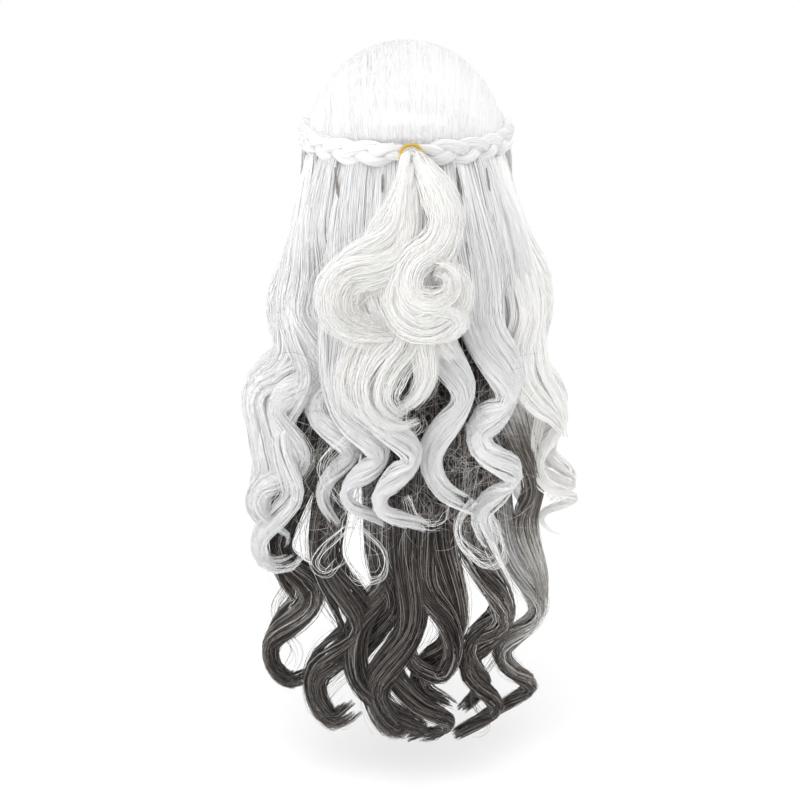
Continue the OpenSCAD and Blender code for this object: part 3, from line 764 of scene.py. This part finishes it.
def make_dark_curls():
    for name, (knots, width) in DARK_CURLS.items():
        lock(name, None, knots, width, [10, 13, 11], DARK_HAIR, fibres=300, toner=charcoal(),
             ribbon_args=dict(depth=0.5), points=36, short=0.05, frizz=1.2)


def make_front_locks():
    for side in ("left", "right"):
        for kind, (left_knots, width) in FRONT.items():
            name = f"{kind}_{side}"
            knots = mirrored(left_knots, side)
            if kind.startswith("fringe"):
                lock(name, name, knots, [w * 1.15 for w in width], [8, 11, 7], WHITE_HAIR, fibres=220,
                     ribbon_args=dict(facing="head", curl=0, depth=0), points=20, short=0.3)
            else:
                body = f"{side}_face_lock" if kind == "face_lock" else "cap"
                lock(name, name, rooted(knots), [w * 1.5 for w in width], [8, 11, 7], WHITE_HAIR, body,
                     fibres=300, ribbon_args=dict(curl=0.7), points=28)


def make_tail():
    args = dict(thick=[6, 9, 7], hair=CREAM_HAIR, body="ponytail", radius=0.2, points=38, gather=0.25,
                part=0.1, feather=0.45, ribbon_args=dict(facing=(0, -1, 0), curl=0.3, depth=0.1, count=90))
    for name, (knots, (root, middle, tip)) in TAIL.items():
        inside = [(4, -123, knots[0][2])] + knots
        wide = [root, root * 2.2, middle * 1.2, tip * 1.2]
        lock(name, name, inside, wide, fibres=320, frizz=1.6, **args)
    for name, (knots, width) in TAIL_CURLS.items():
        lock(name, None, knots, width, core=False, fibres=340, fan=0.5, slide=0.025, frizz=1.9, **args)


def make_crown():
    """Combed hair over the crown, on a smooth mass that closes it."""
    rows, cols = 22, 72
    around = np.linspace(0, 360, cols, endpoint=False)
    down = np.linspace(0, 1, rows)
    # The mass ends sooner in front, where around is 180
    edge = np.interp(np.abs(around - 180), [0, 50, 180], [60, 71, 71])
    a = np.radians(np.tile(around, (rows, 1)))
    f = np.radians(1.5 + (edge[None] - 1.5) * down[:, None])
    d = np.stack([np.sin(f) * np.sin(a), -np.sin(f) * np.cos(a), np.cos(f)], -1)
    outer = on_crown(d, 0.35 * MM)
    inner = on_head(d, 4 * MM)
    points = np.concatenate([outer.reshape(-1, 3), inner.reshape(-1, 3)])
    r, c = np.meshgrid(np.arange(rows - 1), np.arange(cols), indexing="ij")
    n = (c + 1) % cols
    top = np.stack([r * cols + c, (r + 1) * cols + c, (r + 1) * cols + n, r * cols + n], -1).reshape(-1, 4)
    size = rows * cols
    under = top[:, ::-1] + size
    c = np.arange(cols)
    n = (c + 1) % cols
    low = (rows - 1) * cols
    rim = np.stack([low + c, size + low + c, size + low + n, low + n], -1)
    hole = np.stack([c, n, size + n, size + c], -1)
    flow = np.stack([np.tile(np.tile(around / 360 * 6, rows), 2), np.tile(np.repeat(down, cols), 2)], -1)
    mass = mesh_object("crown_hair_mass", points, [top, under, rim, hole], [WHITE_MASS], flow=flow)
    on_cap(mass, "white_hair", "crown_hair_left", "crown_hair_back", "crown_hair_right")
    for name, left, right in (("left", -84, -24), ("middle", -26, 26), ("right", 24, 84)):
        paths = crown_paths(CROWN_FIBRES, 13, left, right)
        # The crown's fibres take only the two darker white tones: a painted shade that sets the brightly lit
        # crown off from the white backdrop
        on_cap(fibres_object(f"crown_fibres_{name}", paths, 0.26 * MM, WHITE_TONES[2:]), "white_hair")


def braid_line(side, count):
    """The braids' own centreline, from the temple to the tie."""
    i = np.linspace(0, 10, 11)
    last = 5 if side > 0 else 0
    az = np.radians(118 + (last - 118) * i / 10)
    rise = 0.3 * i - 3 * np.sin(np.radians(18 * i))
    knots = np.stack([side * (HEAD[0] + BRAID_OFF[0]) * np.sin(az), -(HEAD[1] + BRAID_OFF[1]) * np.cos(az),
                      BRAID_LEVEL + rise * MM], -1)
    return spline(knots, count)


def make_braid(name, side):
    """Three strands laid over each other in turn, each a bundle of fibres round a core."""
    points, count = 64, 120
    line = braid_line(side, points)
    along = unit(np.gradient(line, axis=0))
    out = unit(line * np.array([1, 1, 0]))
    up = unit(np.cross(out, along)) * -side
    s = np.linspace(0, 1, points)
    length = np.linalg.norm(np.diff(line, axis=0), axis=1).sum()
    swell = np.interp(s, [0, 0.08, 0.9, 1], [0.5, 1, 1, 0.55]) * MM
    all_paths, cores = [], []
    for k in range(3):
        phase = 2 * np.pi * (s * length / BRAID_CYCLE + k / 3)
        centre = (line + up * (5.6 * swell * np.sin(phase))[:, None]
                  + out * (2.9 * swell * np.sin(2 * phase))[:, None])
        run = unit(np.gradient(centre, axis=0))
        wide = unit(np.cross(out, run))
        face = np.cross(run, wide)
        angle = rng.uniform(0, 2 * np.pi, (count, 1))
        rad = np.sqrt(rng.uniform(0.45, 1, (count, 1)))
        turn = angle + 0.5 * np.sin(phase)[None] + drift(count, points, 0.15, 2)
        u = rad * np.cos(turn) * (5.2 * swell)[None]
        v = rad * np.sin(turn) * (3.5 * swell)[None]
        all_paths.append(centre[None] + wide[None] * u[..., None] + face[None] * v[..., None])
        cores.append((centre, wide, face, 4.7 * swell, 3.1 * swell))
    fibres = fibres_object(name + "_fibres", np.concatenate(all_paths), 0.25 * MM, WHITE_TONES)
    on_cap(fibres, "white_hair", name)
    for k, core in enumerate(cores):
        on_cap(tube_object(f"{name}_strand_{k + 1}", s, *core, WHITE_MASS), "white_hair")


def make_bundle():
    """The hair gathered inside the tie, which swells on both sides of it."""
    n, points = 420, 18
    s = np.linspace(0, 1, points)[None]
    angle = rng.uniform(0, 2 * np.pi, (n, 1))
    rad = np.sqrt(rng.uniform(0.2, 1, (n, 1))) * 6.6 * MM * (1 + 0.9 * np.abs(s - 0.55) ** 1.5)
    y = TIE[1] + (0.5 - s) * 17 * MM + rng.uniform(-1, 1, (n, 1)) * MM
    paths = np.stack([TIE[0] + rad * np.cos(angle), y, TIE[2] + rad * np.sin(angle)], -1)
    on_cap(fibres_object("hair_bundle_fibres", paths, 0.28 * MM, CREAM_TONES), "white_hair", "hair_bundle")


def make_shade_slits():
    paths = []
    for top, bottom, width in SHADE_SLITS:
        middle = [(a + b) / 2 for a, b in zip(top, bottom)]
        ribbon = Ribbon([top, middle, bottom], curl=0, depth=0)
        paths.append(bundle(ribbon, [0.4, width, width, 0.4], [1, 1], 26, points=12, frizz=0.3, gather=0,
                            part=0.02))
    # Dark fibres in the gaps between the straight locks: a painted shade
    on_cap(fibres_object("painted_shade_slits", np.concatenate(paths), 0.14 * MM, FADE_TONES[2:6]), "ash_hair")


def make_wisps():
    for colour, tones in (("white", WHITE_TONES), ("dark", FADE_TONES[4:])):
        paths = []
        for knots, count in WISPS[colour]:
            ribbon = Ribbon(knots, curl=0, depth=0)
            paths.append(bundle(ribbon, [8, 9, 14], [6, 6, 8], count, points=40, parts=4, gather=0.1,
                                part=0.3, frizz=1.1, short=0.5, slide=0.02))
        on_cap(fibres_object(f"wisps_{colour}", np.concatenate(paths), 0.17 * MM, tones), f"{colour}_hair")


def make_frizz():
    """Fine hairs that stray in every direction between the white locks and the dark ones."""
    count, points = 1100, 12
    s = np.linspace(0, 1, points)[None, :, None]
    start = [rng.uniform(-78, 84, count), rng.uniform(-116, -100, count), rng.uniform(-250, -95, count)]
    start = np.stack(start, -1) * MM
    heading = unit(rng.normal(0, 1, (count, 3)) * np.array([1, 0.25, 1]))
    turn = unit(np.cross(heading, np.array([0, 1, 0]) + rng.normal(0, 0.3, (count, 3))))
    reach = rng.uniform(14, 46, (count, 1, 1)) * MM
    bend = rng.normal(0, 0.2, (count, 1, 1))
    paths = start[:, None] + heading[:, None] * reach * s + turn[:, None] * bend * reach * 4 * s * (1 - s)
    paths = paths + drift_3d(count, points, 0.35 * MM, 0.8)
    on_cap(fibres_object("frizz", paths, 0.11 * MM, [*FADE_TONES[1:4], WHITE_TONES[0]]), "ash_hair")


# ---- light, floor and camera ----

def make_world(scene):
    """A white room. The camera sees it pure white, whatever light it gives."""
    world = bpy.data.worlds.new("studio")
    scene.world = world
    world.use_nodes = True
    seen = add_node(world, "LightPath").outputs["Is Camera Ray"]
    level = add_node(world, "MapRange", {"Value": seen, "To Min": 0.98, "To Max": 1.0})
    back = world.node_tree.nodes["Background"]
    feed(world, back, {"Color": (1, 1, 1, 1), "Strength": level.outputs["Result"]})


def make_floor():
    """A pale round floor that fades out towards its rim."""
    sides = 96
    i = np.arange(sides)
    n = (i + 1) % sides
    around = i * 2 * np.pi / sides
    rings = [np.stack([r * np.cos(around), r * np.sin(around), np.full(sides, FLOOR_Z)], -1)
             for r in (0.001, 1.5)]
    faces = np.stack([i, sides + i, sides + n, n], -1)
    m = new_material("pale_floor", {"Base Color": (0.97, 0.97, 0.97, 1), "Roughness": 0.9})
    distance = add_node(m, "VectorMath", {0: place_of(m)}, operation="LENGTH").outputs["Value"]
    edge = add_node(m, "MapRange", {"Value": distance, "From Min": 1.4, "From Max": 0.62})
    shade(m, {"Alpha": edge.outputs["Result"]})
    mesh_object("floor", np.vstack(rings), [faces], [m], smooth=False)


def make_stage():
    scene = bpy.context.scene
    scene.view_settings.view_transform = "Standard"
    scene.view_settings.look = "None"
    make_world(scene)
    make_floor()
    for name, (place, size, watts) in LAMPS.items():
        light = bpy.data.lights.new(name, "AREA")
        light.size = size
        light.energy = watts
        obj = bpy.data.objects.new(name, light)
        obj.location = place
        aim = Vector(LAMP_AIM) - Vector(place)
        obj.rotation_mode = "QUATERNION"
        obj.rotation_quaternion = aim.to_track_quat("-Z", "Y")
        scene.collection.objects.link(obj)


def make_camera():
    camera = bpy.data.cameras.new("camera")
    camera.lens = CAMERA_LENS
    camera.shift_x = CAMERA_SHIFT
    obj = bpy.data.objects.new("camera", camera)
    obj.location = CAMERA_PLACE
    obj.rotation_euler = (math.radians(90 - CAMERA_TILT), 0, 0)
    bpy.context.scene.collection.objects.link(obj)
    bpy.context.scene.camera = obj


NODE_MATERIALS = {
    "hair_tie": grained_material("gold_rubber", (0.50, 0.31, 0.04), (0.64, 0.44, 0.09), 0.38),
    "net": woven_material("cap_net", (0.30, 0.27, 0.24), (0.72, 0.68, 0.62), 420.0),
    "lace": woven_material("band_cloth", (0.60, 0.56, 0.50), (0.78, 0.74, 0.69), 900.0),
    "elastic": woven_material("nape_elastic", (0.04, 0.04, 0.04), (0.11, 0.105, 0.10), 1100.0),
    "skin": woven_material("parting_mesh", (0.62, 0.55, 0.48), (0.82, 0.76, 0.70), 1300.0),
    "white_weft": woven_material("white_weft", (0.60, 0.60, 0.60), (0.86, 0.86, 0.86), 800.0),
    "dark_weft": woven_material("dark_weft", (0.02, 0.02, 0.02), (0.07, 0.065, 0.06), 800.0),
    "hook": grained_material("black_plastic", (0.015, 0.015, 0.015), (0.03, 0.03, 0.03), 0.45),
}


def dress_cad_nodes():
    """Gives every CAD node that stays in sight its own finish."""
    kinds = {"hair_tie": "hair_tie", "front_band": "lace", "nape_band": "elastic", "parting_strip": "skin",
             "white_wefts": "white_weft", "dark_wefts": "dark_weft", "adjuster_loops": "elastic",
             "back_net": "net"}
    for side in ("left", "right"):
        kinds.update({f"crown_net_{side}": "net", f"side_net_{side}": "net", f"ear_tab_{side}": "lace",
                      f"adjuster_casing_{side}": "elastic", f"adjuster_strap_{side}": "elastic",
                      f"adjuster_hook_{side}": "hook"})
    for node, kind in kinds.items():
        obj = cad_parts[node]
        obj.data.materials.clear()
        obj.data.materials.append(NODE_MATERIALS[kind])


make_camera()
make_crown()
make_braid("braid_left", -1)
make_braid("braid_right", 1)
make_white_locks()
make_outer_waves()
make_dark_locks()
make_dark_curls()
make_front_locks()
make_fill()
make_tail()
make_bundle()
make_wisps()
make_frizz()
make_shade_slits()
dress_cad_nodes()
make_stage()
